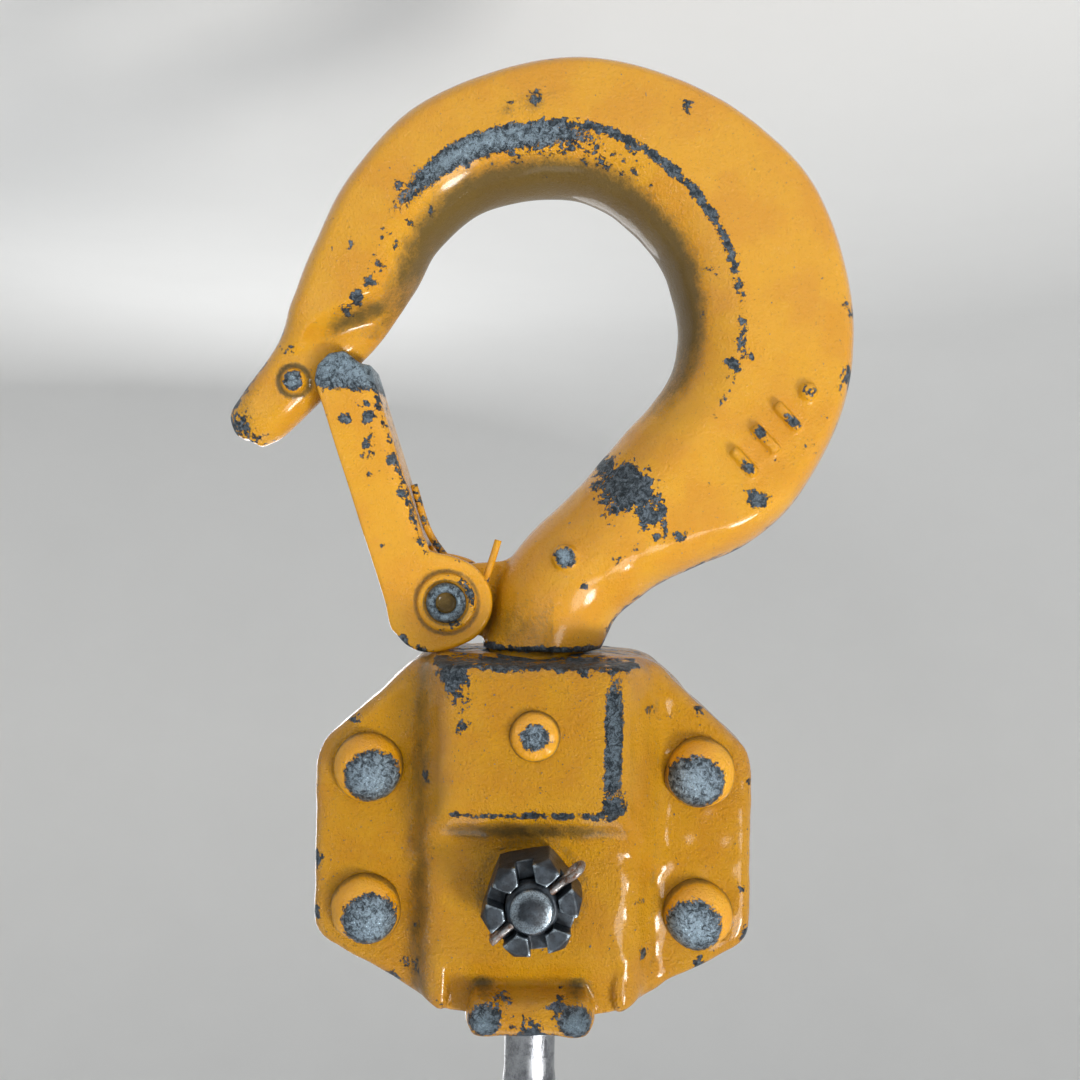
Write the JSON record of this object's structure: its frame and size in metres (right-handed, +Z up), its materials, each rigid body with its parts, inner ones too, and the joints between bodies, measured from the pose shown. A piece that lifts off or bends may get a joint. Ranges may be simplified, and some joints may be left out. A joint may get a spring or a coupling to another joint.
{
  "type": "crane hook block",
  "caption": "Bottom hook block for a small chain hoist: swivelling forged hook with a sprung latch, held in riveted half shells on a load chain.",
  "frame": {"origin": "inner crown of the top chain link, where the next link bears and from which the whole object hangs", "axes": "+Z up along the load line, -Y towards the front with the castle nut, +X towards the hook's tip and latch"},
  "size_m": [0.0769, 0.0323, 0.1377],
  "materials": {
    "yoke_enamel": "glossy, chipped and worn at the edges",
    "hook_enamel": "glossy, chipped at the saddle and edges",
    "latch_enamel": "glossy, worn to steel at the end",
    "rivet_enamel": "worn to steel on the crown",
    "blackened_steel": "black oxide, polished at the edges",
    "plain_steel": "oiled steel",
    "chain_steel": "plated, slightly dulled"
  },
  "bodies": {
    "upper_link": {"chain_link_2": "chain_steel"},
    "lower_link": {"chain_link_1": "chain_steel"},
    "yoke": {"front_shell": "yoke_enamel", "rear_shell": "yoke_enamel", "rivet_upper_left": "rivet_enamel", "rivet_upper_right": "rivet_enamel", "rivet_lower_left": "rivet_enamel", "rivet_lower_right": "rivet_enamel", "front_plug_pin": "rivet_enamel", "rear_plug_pin": "rivet_enamel", "chain_pin": "blackened_steel", "slotted_nut": "blackened_steel", "cotter_pin": "blackened_steel", "thrust_washer": "plain_steel"},
    "hook": {"hook": "hook_enamel", "front_collar_half": "plain_steel", "rear_collar_half": "plain_steel", "latch_pin": "rivet_enamel", "front_latch_washer": "rivet_enamel", "rear_latch_washer": "rivet_enamel", "latch_spring": "plain_steel"},
    "latch": {"latch": "latch_enamel"}
  },
  "joints": [
    {"name": "link_rock", "type": "hinge", "parent": "upper_link", "child": "lower_link", "pos_m": [0, 0, -0.015], "axis": [1, 0, 0], "range_deg": [-20, 20]},
    {"name": "pin_swing", "type": "hinge", "parent": "lower_link", "child": "yoke", "pos_m": [0, 0, -0.0323], "axis": [0, 1, 0], "range_deg": [-8, 8]},
    {"name": "hook_swivel", "type": "hinge", "parent": "yoke", "child": "hook", "pos_m": [0, 0, -0.055], "axis": [0, 0, 1], "continuous": true},
    {"name": "latch_pivot", "type": "hinge", "parent": "hook", "child": "latch", "pos_m": [0.0109, 0, -0.0652], "axis": [0, 1, 0], "range_deg": [0, 55], "stiffness_Nm_per_rad": 0.04, "springref_deg": -34.38, "deforming": ["latch_spring"]}
  ]
}
